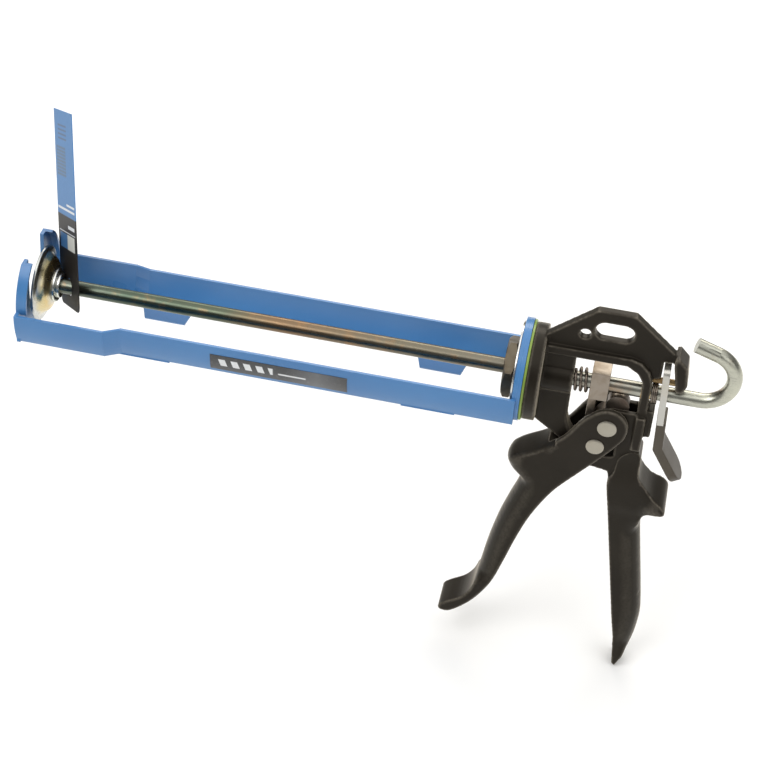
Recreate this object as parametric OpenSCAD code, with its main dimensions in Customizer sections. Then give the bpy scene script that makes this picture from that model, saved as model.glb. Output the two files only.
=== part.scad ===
// Caulking gun with an open, turning cartridge carriage, a hooked push rod and a pistol grip.
// X runs along the push rod towards its hook, Z is up, and the grip hangs down.
// The origin is on the rod's axis, at the inner face of the front plate.

/* [Carriage] */
// Inside length, from the front plate to the rear ring
bay_len = 257.5; // [215:0.5:310]
// Thickness of the carriage's sheet steel
sheet = 1.5; // [1.2:0.1:2]
// Thickness of the front plate and of each ring plate
plate_t = 2; // [1.5:0.1:2.5]
// Radius of the rear ring plates
ring_r = 26.8; // [26:0.1:28]
// Half the width across the two side rails
rail_y = 28.5; // [27.8:0.1:34.2]
// Height of a side rail
rail_h = 18.5; // [15:0.5:21]
// Radius that a side rail is curved to
rail_curve_r = 40; // [34:1:60]
// How far each rail stands further out near the front
flare_y = 3.5; // [2:0.5:5]
// How far the flared part sits lower
flare_z = 1.2; // [0:0.2:2]
// Length of the flared part, from the front plate
flare_len = 45.5; // [40:0.5:48]
// Length of the slope between the flared and the straight part
jog_len = 8; // [6:0.5:9]
// Radius of the front plate
front_r = 28; // [27:0.5:29]
// Half the width of the nozzle slot
slot_half = 12; // [10:0.5:13]
// Height of the two horns beside the nozzle slot
horn_h = 21.8; // [18:0.2:24]
// Depth of the rim turned back from the horns
rim_depth = 3.5; // [2:0.5:4]
// Length of a cradle tab along the rail
tab_len = 28; // [20:1:32]
// Width of a cradle tab, from the rail's lower edge inwards
tab_w = 9.5; // [6:0.5:10]
// Angle of a cradle tab below level
tab_fall = 34; // [28:1:40]
// Start of the front pair of tabs
tab_front_x = 51; // [50:1:56]
// Distance from the rear ring to the end of the rear pair of tabs
tab_rear_gap = 28; // [20:1:40]

/* [Label] */
// Length of the rail label
label_len = 72; // [50:1:90]
// Height of the rail label
label_h = 11; // [8:0.5:12]
// Distance from the rail's top edge to the label
label_drop = 5; // [4:0.5:6]
// Distance from the rear ring to the label
label_rear_gap = 84; // [70:1:100]
// Thickness of the rail label
label_t = 0.2; // [0.1:0.05:0.3]

/* [Ring stack] */
// Radius of the casting's threaded nose
nose_r = 11; // [10:0.5:12]
// Radial clearance between the nose and the turning rings
ring_gap = 0.3; // [0.2:0.05:0.5]
// Side clearance between the turning rings and the washers
washer_gap = 0.1; // [0.05:0.05:0.2]
// Radius of the zinc retaining washer
washer_r = 24.8; // [22:0.2:25.2]
// Thickness of the zinc retaining washer
washer_t = 1.2; // [0.8:0.1:2]
// Thickness of the coloured swivel washer
swivel_t = 1.3; // [1:0.1:2]
// Width across the flats of the large nut
nut_af = 28.8; // [26:0.1:31]
// Thickness of the large nut
nut_t = 6; // [5:0.5:8]
// Turn of the large nut about the rod
nut_turn = 7; // [0:1:29]

/* [Push rod] */
// Diameter of the push rod
rod_d = 8; // [6.66:0.01:8.6]
// Radial running clearance around the rod
rod_fit = 0.05; // [0.03:0.01:0.08]
// Radius of the hook's bend
hook_r = 15.3; // [14:0.1:17]
// Angle that the hook turns through
hook_angle = 162; // [150:1:175]
// Length of the straight end of the hook
hook_end = 12; // [6:1:12]
// Straight rod behind the brake plate before the hook starts
hook_start_gap = 17; // [16:0.5:22]

/* [Plunger] */
// Radius of the plunger disc
disc_r = 20; // [18:0.5:22]
// Gap between the plunger's front face and the front plate
disc_gap = 3; // [2.5:0.1:4]
// Depth of the pressed dish
dish_depth = 6; // [5:0.5:7]
// Radius of the threaded end of the rod
stud_r = 3; // [2.5:0.1:3.4]
// Width across the flats of the small nut on the rod's end
stud_nut_af = 10; // [9:0.5:11]
// Thickness of the small nut
stud_nut_t = 3.4; // [2.6:0.2:4]
// Radius of the backing washer
backing_r = 9; // [8:0.5:10]
// Thickness of the backing washer
backing_t = 1.4; // [1:0.2:1.6]
// Radius of the rod's collar behind the plunger
collar_r = 6.5; // [5.5:0.5:7]
// Length of the rod's collar
collar_len = 1.8; // [1.4:0.1:2]

/* [Hang tag] */
// Width of the card
tag_w = 40; // [30:1:44]
// Height of the card above the rod
tag_up = 92; // [60:1:110]
// Height of the card below the rod
tag_down = 11; // [9:1:12]
// Thickness of the card
tag_t = 0.5; // [0.3:0.1:0.6]
// Distance from the rod's collar to the card, along the rod
tag_gap = 4.2; // [4:0.1:8]
// Radial clearance of the card's hole around the rod
tag_hole_gap = 0.6; // [0.4:0.1:1.5]

/* [Body casting] */
// Radius of the casting's front collar
collar_front_r = 25.3; // [24:0.1:26]
// Length of the casting's front collar
collar_front_len = 6.7; // [5:0.1:8]
// Radius of the boss around the rod
boss_r = 8.5; // [8:0.1:9.5]
// Length of the boss behind the collar
boss_len = 16; // [14:0.5:17]
// Thickness of the upper web
web_t = 5; // [4:0.5:6]
// Width of the ribs around the window
rib_w = 11; // [10:0.5:12.2]
// Width of the casting between the trigger's cheeks
neck_w = 12.4; // [11.6:0.2:12.4]
// Width of the grip
grip_w = 18; // [16.5:0.5:20]
// Height of the casting's top edge above the rod
top_z = 45.3; // [42:0.1:48]
// Length of the hanging slot, end to end
hang_len = 20; // [16:0.5:22]
// Width of the hanging slot
hang_w = 10; // [8:0.5:10.4]
// Diameter of the small hole in the web
web_hole_d = 6; // [4:0.5:6.4]
// Length of the window from the boss to the rear column
window_len = 35; // [33:0.5:42]
// Thickness of the rear column along the rod
column_t = 5; // [4:0.5:6]

/* [Trigger] */
// Distance from the boss's end to the trigger's pivot
pivot_back = 21.5; // [21:0.1:23]
// Depth of the trigger's pivot below the rod
pivot_z = 21; // [20.5:0.1:22]
// Width of the trigger over its cheeks
trigger_w = 20; // [19:0.5:22]
// Gap between the trigger's cheeks
cheek_gap = 13; // [12.8:0.1:13.4]
// Radius of the rounded top of the cheeks
lobe_r = 10.6; // [10:0.1:11.5]
// Radius of the pivot pin
pivot_r = 4; // [3.33:0.01:4.2]
// Radius of the pivot pin's heads
pivot_head_r = 5; // [4.8:0.1:5.4]
// Thickness of a pin head
head_t = 1; // [0.6:0.1:1.4]
// Width of the steel pusher between the casting's ears
pusher_w = 6.2; // [5:0.2:6.4]
// Radius of the pusher's nose
nose_tip_r = 6; // [5.4:0.1:6]
// Radius of the rivet that holds the pusher
rivet_r = 2.5; // [2:0.1:3]
// Radius of the rivet's heads
rivet_head_r = 4.7; // [4.2:0.1:5]

/* [Drive block and spring] */
// Length of the drive block along the rod
block_len = 9.5; // [8.5:0.1:11.5]
// Width of the drive block
block_w = 12; // [11:0.2:13]
// Height of the drive block above the rod's axis
block_up = 9.4; // [8:0.2:11]
// Depth of the drive block below the rod's axis
block_down = 7.2; // [6.8:0.1:7.6]
// Depth of the block's tongue below the rod's axis
tongue_down = 23; // [20:0.5:23.5]
// Width of the tongue
tongue_w = 6; // [5:0.2:6.6]
// Outer diameter of the main spring
spring_d = 13; // [11.5:0.1:14]
// Wire diameter of the main spring
spring_wire = 1.5; // [1.2:0.1:1.6]

/* [Release] */
// Thickness of the brake plate
brake_t = 3.5; // [3:0.1:3.8]
// Half the width of the brake plate
brake_half = 9; // [8:0.5:10]
// Height of the brake plate's top above the rod's axis
brake_top = 20; // [18:0.5:21]
// Depth of the brake plate's visible end below the rod's axis
brake_low = 14; // [12:0.5:15]
// Backward lean of the brake plate at rest, in degrees
brake_lean = 2.7; // [2:0.1:3.2]
// Gap between the rear column and the brake plate's pivot line
brake_gap = 4.2; // [4:0.1:5]
// Radial clearance of the brake plate's hole around the rod
brake_hole_gap = 0.5; // [0.4:0.1:0.8]
// Width of the thumb paddle
paddle_w = 16; // [12:1:18]
// Thickness of the thumb paddle
paddle_t = 5; // [4.5:0.1:5.5]
// Rearward bend of the lower part of the paddle, in degrees
paddle_bend = 29; // [20:1:34]
// Radius of the guide pin above the rod
guide_r = 1.7; // [1.4:0.1:1.8]

/* [Hidden] */
$fn = 48;
eps = 0.01;
big = 400;
rod_r = rod_d / 2;
rod_bore_r = rod_r + rod_fit;
head_gap = 0.1;
// Stations along the rod, front to rear
ring_end_x = bay_len + 2 * plate_t;
swivel_x = ring_end_x + washer_gap;
casting_x = swivel_x + swivel_t;
boss_x = casting_x + collar_front_len;
boss_end_x = boss_x + boss_len;
column_x = boss_end_x + window_len;
column_end_x = column_x + column_t;
washer_x = bay_len - washer_gap - washer_t;
nut_x = washer_x - nut_t;
pivot_x = boss_end_x + pivot_back;
// The drive block ends just in front of the pusher's nose, and its tongue in front of the pusher's hub
nose_gap = 0.1;
nose_dx = 3.3;
nose_dz = 10;
hub_r = 8;
block_end_x = pivot_x + nose_dx - nose_tip_r - nose_gap;
block_x = block_end_x - block_len;
tongue_end_x = pivot_x - hub_r - nose_gap / 4;
brake_x = column_end_x + brake_gap;
hook_x = brake_x + brake_t + hook_start_gap;
// Plunger stations
disc_x = disc_gap;
dish_x = disc_x + dish_depth;
disc_back_x = dish_x + sheet;
backing_x = disc_back_x + eps;
collar_x = backing_x + backing_t + rod_fit;
collar_end_x = collar_x + collar_len;
tag_x = collar_end_x + tag_gap;
// Casting details
boss_bore_r = rod_r + 0.4;
bush_r = 6;
front_bush_len = 12;
window_top = 16.6;
window_bottom = -24.5;
rib_t = 4.6;
rib_top = window_top + rib_t;
rear_bush_r = rib_w / 2 - 0.5;
link_outer_r = 32.5;
link_inner_r = 21.5;
ear_t = (neck_w - 7) / 2;
ear_r = 9;
column_rib_w = neck_w + 3.2;
lug_w = 13;
// Trigger details, measured from the pivot
rivet_dx = -4.5;
rivet_dz = -13;
cheek_clear_r = 34;
pin_fit = 0.05;
// Paddle details
tail_half = 5;
tail_low = 28;
tail_t = 2.6;
paddle_straight = 17.5;
paddle_len = 18;

// A solid of width w, centred on the rod's vertical plane, from an outline drawn in X and Z
module slab(w) {
    rotate([90, 0, 0]) linear_extrude(w, center = true) children();
}

// A solid between two stations on the rod, from an outline drawn in Y and Z
module along(x0, x1) {
    translate([x0, 0, 0]) rotate([90, 0, 90]) linear_extrude(x1 - x0) children();
}

module rod_cylinder(x0, x1, r) {
    translate([x0, 0, 0]) rotate([0, 90, 0]) cylinder(h = x1 - x0, r = r);
}

function unit(v) = v / norm(v);

// A closed smooth outline through the given points, with the same number of steps between each two
function smooth_outline(points, steps = 4) = [
    for (i = [0 : len(points) - 1])
        let (n = len(points), a = points[(i + n - 1) % n], b = points[i],
            c = points[(i + 1) % n], d = points[(i + 2) % n],
            reach = norm(c - b), out_b = reach * unit(c - a), in_c = reach * unit(d - b))
        for (k = [0 : steps - 1])
            let (t = k / steps, u = t * t, v = u * t)
            (2 * v - 3 * u + 1) * b + (v - 2 * u + t) * out_b + (3 * u - 2 * v) * c + (v - u) * in_c
];

module cross_pin(x, z, w, r) {
    translate([x, 0, z]) rotate([90, 0, 0]) cylinder(h = w, r = r, center = true);
}

module both_sides() {
    children();
    mirror([0, 1, 0]) children();
}

// A helical wire about the rod's axis, from x0 to x1
module coil(x0, x1, mean_r, wire_r, turns, steps = 20, sides = 8) {
    n = turns * steps;
    ring = [for (i = [0 : n]) for (k = [0 : sides - 1])
        let (a = 360 * i / steps, b = 360 * k / sides, r = mean_r + wire_r * cos(b))
        [x0 + (x1 - x0) * i / n + wire_r * sin(b), r * cos(a), r * sin(a)]];
    walls = [for (i = [0 : n - 1]) for (k = [0 : sides - 1])
        let (j = (k + 1) % sides)
        [i * sides + k, i * sides + j, (i + 1) * sides + j, (i + 1) * sides + k]];
    start_cap = [for (k = [0 : sides - 1]) sides - 1 - k];
    end_cap = [for (k = [0 : sides - 1]) n * sides + k];
    polyhedron(ring, concat([start_cap], walls, [end_cap]));
}

// ---- Carriage ----

module rail_solid_section() {
    intersection() {
        translate([rail_y - rail_curve_r, 0]) circle(r = rail_curve_r, $fn = 96);
        translate([0, -rail_h]) square([rail_y + 1, rail_h]);
    }
}

module rail_section() {
    intersection() {
        difference() {
            translate([rail_y - rail_curve_r, 0]) circle(r = rail_curve_r, $fn = 96);
            translate([rail_y - rail_curve_r, 0]) circle(r = rail_curve_r - sheet, $fn = 96);
        }
        translate([0, -rail_h]) square([rail_y + 1, rail_h]);
    }
}

// One strip of the rail's section, a hair thinner than the rail, so that it sinks into both its ends
module jog_strip(share_from, share_to) {
    inset = 0.1;
    clear_h = rail_h - 2 * inset;
    intersection() {
        difference() {
            translate([rail_y - rail_curve_r, 0]) circle(r = rail_curve_r - inset, $fn = 96);
            translate([rail_y - rail_curve_r, 0]) circle(r = rail_curve_r - sheet + inset, $fn = 96);
        }
        translate([0, -inset - clear_h * share_to])
            square([rail_y + 1, clear_h * (share_to - share_from)]);
    }
}

module rail() {
    jog_end = flare_len + jog_len;
    sunk = 0.5;
    bands = 3;
    translate([0, flare_y, -flare_z]) along(-plate_t, flare_len) rail_section();
    along(jog_end, bay_len + eps) rail_section();
    for (i = [0 : bands - 1]) hull() {
        translate([0, flare_y, -flare_z])
            along(flare_len - sunk, flare_len) jog_strip(i / bands, (i + 1) / bands);
        along(jog_end, jog_end + sunk) jog_strip(i / bands, (i + 1) / bands);
    }
}

// A tab bent inwards from the rail's lower edge, to carry the cartridge
module cradle_tab(x) {
    taper = 3;
    root = 1.2;
    low_y = rail_y - rail_curve_r + sqrt(pow(rail_curve_r, 2) - pow(rail_h, 2));
    translate([x, low_y - 0.5, -rail_h + 0.8]) rotate([180 + tab_fall, 0, 0]) linear_extrude(sheet)
        polygon([[0, 0], [tab_len, 0], [tab_len, root], [tab_len - taper, tab_w],
            [taper, tab_w], [0, root]]);
}

module front_plate_section() {
    difference() {
        union() {
            intersection() {
                circle(r = front_r, $fn = 96);
                translate([-front_r, -big]) square([2 * front_r, big + horn_h]);
            }
            for (side = [0, 1]) mirror([side, 0]) translate([flare_y, -flare_z]) rail_solid_section();
            translate([-rail_y, -rail_h - flare_z]) square([2 * rail_y - 8, rail_h - 4]);
            translate([-rail_y + 8, -rail_h - flare_z]) square([2 * rail_y - 8, rail_h - 4]);
        }
        circle(r = slot_half);
        translate([-slot_half, 0]) square([2 * slot_half, big]);
    }
}

module horn_rim_section() {
    intersection() {
        difference() {
            circle(r = front_r, $fn = 96);
            circle(r = front_r - sheet, $fn = 96);
        }
        translate([0, -flare_z - 1]) square([front_r, horn_h + flare_z + 1]);
    }
}

module ring_section() {
    difference() {
        circle(r = ring_r, $fn = 96);
        circle(r = nose_r + ring_gap);
    }
}

module carriage_frame() {
    color("cornflowerblue") {
        along(-plate_t, 0) front_plate_section();
        both_sides() {
            along(-eps, rim_depth) horn_rim_section();
            rail();
            cradle_tab(tab_front_x);
            cradle_tab(bay_len - tab_rear_gap - tab_len);
        }
        along(bay_len, bay_len + plate_t) difference() {
            union() {
                circle(r = ring_r, $fn = 96);
                for (side = [0, 1]) mirror([side, 0]) intersection() {
                    rail_solid_section();
                    translate([ring_r / 2, -big]) square([big, 2 * big]);
                }
            }
            circle(r = nose_r + ring_gap);
        }
    }
}

module rear_ring_plate() {
    color("royalblue") along(bay_len + plate_t, ring_end_x) ring_section();
}

// A plain dark label that follows the near rail's curve
module rail_label() {
    x1 = bay_len - label_rear_gap;
    color("black") mirror([0, 1, 0]) along(x1 - label_len, x1) intersection() {
        difference() {
            translate([rail_y - rail_curve_r, 0]) circle(r = rail_curve_r + label_t, $fn = 96);
            translate([rail_y - rail_curve_r, 0]) circle(r = rail_curve_r, $fn = 96);
        }
        translate([0, -label_drop - label_h]) square([rail_y + 1, label_h]);
    }
}

// ---- Ring stack ----

module hex_nut() {
    color("gainsboro") rotate([nut_turn, 0, 0]) difference() {
        translate([nut_x, 0, 0]) rotate([0, 90, 0])
            cylinder(h = nut_t, r = nut_af / 2 / cos(30), $fn = 6);
        rod_cylinder(nut_x - 1, washer_x + 1, nose_r);
    }
}

module retaining_washer() {
    color("silver") difference() {
        rod_cylinder(washer_x, washer_x + washer_t, washer_r);
        rod_cylinder(washer_x - 1, washer_x + washer_t + 1, nose_r);
    }
}

module swivel_washer() {
    color("yellowgreen") difference() {
        rod_cylinder(swivel_x, casting_x, ring_r - 0.6);
        rod_cylinder(swivel_x - 1, casting_x + 1, nose_r);
    }
}

// ---- Body casting ----

module web_outline() {
    polygon([
        [boss_x - 1.5, 10], [boss_x - 1.5, 25], [boss_end_x + 7, top_z], [boss_end_x + 26.5, top_z],
        [column_end_x + 9, 26.5], [column_end_x + 11, 25], [column_end_x + 11, brake_top + 1.5],
        [brake_x - 0.5, brake_top + 1.5], [brake_x - 0.5, 10.5], [column_end_x, 10]
    ]);
}

module rib_outline() {
    polygon([
        [boss_x - 1, window_top], [boss_x - 1, rib_top], [column_x - 7, rib_top],
        [column_x - 2, rib_top - 1.6], [column_x + 2.5, 15], [column_end_x, 8], [column_end_x, -48],
        [column_x, -48], [column_x, 8], [column_x - 3, 13], [column_x - 9, window_top]
    ]);
}

// The lower column stands out from the neck on both sides
module column_rib_outline() {
    polygon([
        [column_x, -13], [column_end_x, -13], [column_end_x, -50], [column_x + 1.5, -56],
        [column_x, -50]
    ]);
}

module front_wall_outline() {
    difference() {
        polygon([
            [boss_x - 1, rib_top], [boss_end_x, rib_top], [boss_end_x, window_bottom],
            [boss_end_x + 11, window_bottom], [boss_end_x + 11, -30], [pivot_x, -44], [pivot_x + 5, -44],
            [pivot_x + 5, -53], [boss_end_x + 13, -50], [boss_end_x + 1, -39.5], [boss_x - 1, -27]
        ]);
        translate([pivot_x, -pivot_z]) circle(r = link_inner_r);
    }
}

module neck_outline() {
    difference() {
        polygon([
            [boss_end_x + 1, -39.5], [boss_end_x + 11, -24.5], [column_end_x, -24.5],
            [column_end_x, -60], [pivot_x + 6, -60], [pivot_x + 4, -52], [boss_end_x + 13, -50]
        ]);
        translate([pivot_x, -pivot_z]) circle(r = link_inner_r);
    }
}

module grip_outline() {
    polygon(smooth_outline([
        [pivot_x + 7.4, -50], [pivot_x + 9.5, -40], [column_end_x, -36], [column_end_x + 2, -50],
        [column_end_x + 6, -56], [column_end_x + 11, -61], [column_end_x + 17, -65],
        [column_end_x + 19, -68], [column_end_x + 18, -71], [column_end_x + 12, -73],
        [column_end_x + 8, -77], [column_end_x + 7.5, -84], [column_end_x + 11, -107],
        [column_end_x + 17, -146], [column_end_x + 17, -160], [column_end_x + 15, -174],
        [column_end_x + 11, -184], [column_end_x + 8.5, -188], [column_end_x + 6.8, -182],
        [column_end_x + 6.4, -174], [pivot_x + 20.8, -152], [pivot_x + 13.8, -111],
        [pivot_x + 6.8, -70], [pivot_x + 5.4, -62], [pivot_x + 5, -57]
    ]));
}

module lug_outline() {
    polygon([
        [column_end_x + 9.2, 26.5], [column_end_x + 11, 27], [column_end_x + 16, 22],
        [column_end_x + 17.3, 11], [column_end_x + 15.5, 6.5], [column_end_x + 12, 6],
        [column_end_x + 10.5, 14], [column_end_x + 9, 21.5]
    ]);
}

module hanging_slot() {
    reach = (hang_len - hang_w) / 2;
    translate([boss_end_x + 17, 33.5]) {
        for (side = [-1, 1]) translate([side * reach, 0]) circle(d = hang_w);
        square([2 * reach, hang_w], center = true);
    }
}

module pivot_ears() {
    both_sides() translate([0, neck_w / 2 - ear_t / 2, 0]) slab(ear_t) {
        translate([pivot_x, -pivot_z]) circle(r = ear_r);
        polygon([
            [pivot_x, -pivot_z + ear_r], [column_x + 1, -pivot_z + ear_r],
            [column_x + 1, -pivot_z - 8], [pivot_x, -pivot_z - ear_r]
        ]);
        // Behind the rivet's swing the ears reach down to the neck
        polygon([
            [pivot_x + 5.6, -pivot_z - 5], [column_x + 1, -pivot_z - 5],
            [column_x + 1, -pivot_z - 29], [pivot_x + 5.6, -pivot_z - 26]
        ]);
    }
}

module body_casting() {
    seat_t = 3.7;
    slot_w = 7;
    color("dimgray") difference() {
        union() {
            rod_cylinder(nut_x, casting_x + 1, nose_r);
            rod_cylinder(casting_x, boss_x, collar_front_r);
            rod_cylinder(boss_x - 1, boss_end_x, boss_r);
            slab(web_t) web_outline();
            slab(rib_w) rib_outline();
            slab(column_rib_w) column_rib_outline();
            slab(8) front_wall_outline();
            slab(neck_w) neck_outline();
            slab(grip_w) grip_outline();
            slab(lug_w) lug_outline();
            slab(10) translate([column_end_x - 1, -26]) square([seat_t + 1, 16.5]);
            pivot_ears();
        }
        // The hanging slot and the small hole go right through the web
        slab(big) hanging_slot();
        cross_pin(boss_end_x + 2.5, 30, big, web_hole_d / 2);
        // The window that the drive block moves in
        slab(rib_w + 1) polygon([
            [boss_end_x, window_bottom], [boss_end_x, window_top], [column_x - 9, window_top],
            [column_x - 3, 13], [column_x, 8], [column_x, -12], [pivot_x, -12],
            [boss_end_x + 11, window_bottom]
        ]);
        // Room for the pusher and its rivet between the ears
        slab(slot_w) translate([pivot_x, -pivot_z]) circle(r = link_inner_r - 4);
        // The rod's way through the boss and the rear column, with seats for the bushes
        rod_cylinder(nut_x - 1, big, boss_bore_r);
        rod_cylinder(nut_x - 1, nut_x + front_bush_len, bush_r);
        rod_cylinder(column_x - 1, column_end_x + 1, rear_bush_r);
        cross_pin(pivot_x, -pivot_z, big, pivot_r);
        guide_bore();
    }
}

module guide_bore() {
    rod_cylinder_at(column_x + 1, column_end_x + 11.5, 8, guide_r);
}

module rod_cylinder_at(x0, x1, z, r) {
    translate([0, 0, z]) rod_cylinder(x0, x1, r);
}

module front_bush() {
    color("darkgoldenrod") difference() {
        rod_cylinder(nut_x, nut_x + front_bush_len, bush_r);
        rod_cylinder(nut_x - 1, nut_x + front_bush_len + 1, rod_bore_r);
    }
}

module rear_bush() {
    color("darkgoldenrod") difference() {
        rod_cylinder(column_x, column_end_x, rear_bush_r);
        rod_cylinder(column_x - 1, column_end_x + 1, rod_bore_r);
    }
}

module guide_pin() {
    color("tan") rod_cylinder_at(column_x + 1, column_end_x + 11.5, 8, guide_r);
}

// ---- Rod and plunger ----

// The bend and the end are each a hair thinner than what they grow from, and start inside it
module rod() {
    sunk = 0.4;
    neck_down = 0.02;
    sunk_angle = atan(sunk / hook_r);
    end_angle = hook_angle - 90;
    color("silver") {
        rod_cylinder(disc_x + 1, collar_x + 1, stud_r);
        rod_cylinder(collar_x, hook_x, rod_r);
        translate([hook_x, 0, hook_r]) rotate([90, 0, 0]) rotate([0, 0, -90 - sunk_angle])
            rotate_extrude(angle = hook_angle + sunk_angle, $fn = 96)
                translate([hook_r, 0]) circle(r = rod_r - neck_down);
        translate([hook_x + hook_r * cos(end_angle), 0, hook_r + hook_r * sin(end_angle)])
            rotate([0, -end_angle, 0]) translate([0, 0, -sunk])
                cylinder(h = hook_end + sunk, r = rod_r - 2 * neck_down);
    }
}

module rod_collar() {
    color("gray") difference() {
        rod_cylinder(collar_x, collar_end_x, collar_r);
        rod_cylinder(collar_x - 1, collar_end_x + 1, rod_r);
    }
}

module plunger_nut() {
    color("gray") difference() {
        translate([dish_x - rod_fit - stud_nut_t, 0, 0]) rotate([0, 90, 0])
            cylinder(h = stud_nut_t, r = stud_nut_af / 2 / cos(30), $fn = 6);
        rod_cylinder(0, dish_x, stud_r);
    }
}

// A pressed dish: flat rim in front, stepped cone, flat centre on the rod's end
module plunger_disc() {
    cone_r = disc_r * 0.6;
    color("silver") rotate([0, 90, 0]) rotate_extrude($fn = 96) polygon([
        [stud_r + rod_fit, dish_x], [backing_r + 0.5, dish_x], [cone_r, dish_x - 1.6],
        [disc_r - 4, disc_x], [disc_r, disc_x], [disc_r, disc_x + sheet],
        [disc_r - 2.5, disc_x + sheet], [cone_r + 1, disc_back_x - 1.6], [backing_r + 0.8, disc_back_x],
        [stud_r + rod_fit, disc_back_x]
    ]);
}

module backing_washer() {
    color("silver") difference() {
        rod_cylinder(backing_x, backing_x + backing_t, backing_r);
        rod_cylinder(0, big, stud_r + rod_fit);
    }
}

// ---- Hang tag ----

// The card stands on the rod at a slant, and its hole is cut along the rod
module hang_tag() {
    corner = 4;
    color("lightskyblue") difference() {
        translate([tag_x, 0, 0]) rotate([-24, 0, 0]) rotate([0, -9, 0]) rotate([0, 0, 30])
            translate([-tag_t / 2, 0, 0]) rotate([90, 0, 90]) linear_extrude(tag_t) {
                translate([-tag_w / 2, corner - tag_down]) square([tag_w, tag_up + tag_down - corner]);
                translate([corner - tag_w / 2, -tag_down]) square([tag_w - 2 * corner, 2 * corner]);
                for (side = [-1, 1])
                    translate([side * (tag_w / 2 - corner), corner - tag_down]) circle(r = corner);
            }
        rod_cylinder(0, big, rod_r + tag_hole_gap);
    }
}

// ---- Drive ----

module main_spring() {
    wire_r = spring_wire / 2;
    clear = wire_r + 0.1;
    color("darkgray") coil(boss_end_x + clear, block_x - clear, spring_d / 2 - wire_r, wire_r, 2.5);
}

module drive_block() {
    color("rosybrown") difference() {
        union() {
            translate([block_x, -block_w / 2, -block_down])
                cube([block_len, block_w, block_up + block_down]);
            translate([block_x, -tongue_w / 2, -tongue_down])
                cube([tongue_end_x - block_x, tongue_w, tongue_down]);
        }
        rod_cylinder(0, big, rod_bore_r);
    }
}

// ---- Trigger ----

module trigger_outline() {
    translate([pivot_x, -pivot_z]) {
        circle(r = lobe_r);
        polygon(smooth_outline([
            [-8.2, 6.8], [-20.8, -10.7], [-27.5, -17.5], [-33.5, -22.5], [-42, -27.5],
            [-47.5, -31], [-49, -35.5], [-46.5, -40.5], [-40.8, -45.5], [-41.5, -52], [-45, -63],
            [-49.2, -78],
            [-53, -97], [-55.5, -115], [-58, -128], [-63, -136], [-72, -142.5],
            [-75, -146], [-73.5, -148.5], [-68, -148], [-57, -137.5], [-48, -122],
            [-43, -106], [-38, -87], [-31.8, -68], [-22.5, -49], [-12.8, -36],
            [-1.2, -21.5], [7, -10], [10.2, -3], [7, 7]
        ]));
    }
}

module trigger_hollow() {
    translate([pivot_x, -pivot_z]) {
        circle(r = cheek_clear_r);
        polygon([
            [-32, -40], [-38, -52], [-41, -63], [-45, -79], [-48.6, -97], [-50.5, -112],
            [-30, -112], [-10, -60], [10, -40], [0, -20]
        ]);
    }
}

module trigger() {
    color("dimgray") difference() {
        slab(trigger_w) trigger_outline();
        slab(cheek_gap) trigger_hollow();
        cross_pin(pivot_x, -pivot_z, big, pivot_r + pin_fit);
        cross_pin(pivot_x + rivet_dx, -pivot_z + rivet_dz, big, rivet_r);
    }
}

module trigger_pusher() {
    color("dimgray") difference() {
        union() {
            cross_pin(pivot_x, -pivot_z, pusher_w, hub_r);
            cross_pin(pivot_x + nose_dx, -pivot_z + nose_dz, pusher_w, nose_tip_r);
            cross_pin(pivot_x + rivet_dx, -pivot_z + rivet_dz, pusher_w, 4.5);
            slab(pusher_w) translate([pivot_x, -pivot_z])
                polygon([[-2, 9], [9, 8], [7, -2], [-1.5, -15], [-7.6, -13], [-6.5, 2]]);
        }
        cross_pin(pivot_x, -pivot_z, big, pivot_r + pin_fit);
        cross_pin(pivot_x + rivet_dx, -pivot_z + rivet_dz, big, rivet_r);
    }
}

module headed_pin(x, z, shank_r, head_r, gap) {
    cross_pin(x, z, trigger_w + 2 * gap + eps, shank_r);
    both_sides() translate([0, trigger_w / 2 + gap + head_t / 2, 0]) cross_pin(x, z, head_t, head_r);
}

module pusher_rivet() {
    color("lightgray")
        headed_pin(pivot_x + rivet_dx, -pivot_z + rivet_dz, rivet_r, rivet_head_r, 0);
}

module trigger_pivot_pin() {
    color("lightgray") headed_pin(pivot_x, -pivot_z, pivot_r, pivot_head_r, head_gap);
}

// ---- Release ----

// Places a piece drawn upright at the brake plate's front face so that it leans back about the top
module leaned() {
    translate([brake_x, 0, brake_top]) rotate([0, -brake_lean, 0]) translate([0, 0, -brake_top])
        children();
}

module brake_plate() {
    corner = 3;
    color("silver") difference() {
        leaned() union() {
            along(0, brake_t) {
                translate([-brake_half, -brake_low])
                    square([2 * brake_half, brake_top + brake_low - corner]);
                translate([-brake_half + corner, 0])
                    square([2 * (brake_half - corner), brake_top]);
                for (side = [-1, 1]) translate([side * (brake_half - corner), brake_top - corner])
                    circle(r = corner);
            }
            along(0.6, 0.6 + tail_t) translate([-tail_half, -tail_low]) square([2 * tail_half, tail_low]);
        }
        rod_cylinder(0, big, rod_r + brake_hole_gap);
        rod_cylinder_at(0, big, 8, guide_r + brake_hole_gap);
    }
}

module release_paddle() {
    color("dimgray") difference() {
        leaned() {
            straight_low = brake_low + paddle_straight;
            along(-0.2, paddle_t - 0.2) translate([-paddle_w / 2, -straight_low])
                square([paddle_w, paddle_straight]);
            translate([-0.2, 0, -straight_low]) rotate([0, -paddle_bend, 0]) along(0, paddle_t) {
                translate([-paddle_w / 2, -paddle_len]) square([paddle_w, paddle_len + 0.5]);
                translate([0, -paddle_len]) circle(r = paddle_w / 2);
            }
        }
        leaned() along(0.6, 0.6 + tail_t) translate([-tail_half, -tail_low])
            square([2 * tail_half, tail_low]);
    }
}

module brake_spring() {
    wire_r = 0.6;
    color("darkgray") coil(column_end_x + wire_r + 0.1, column_end_x + brake_gap - wire_r - 0.4,
        rod_r + 1 + wire_r, wire_r, 2);
}

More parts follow.
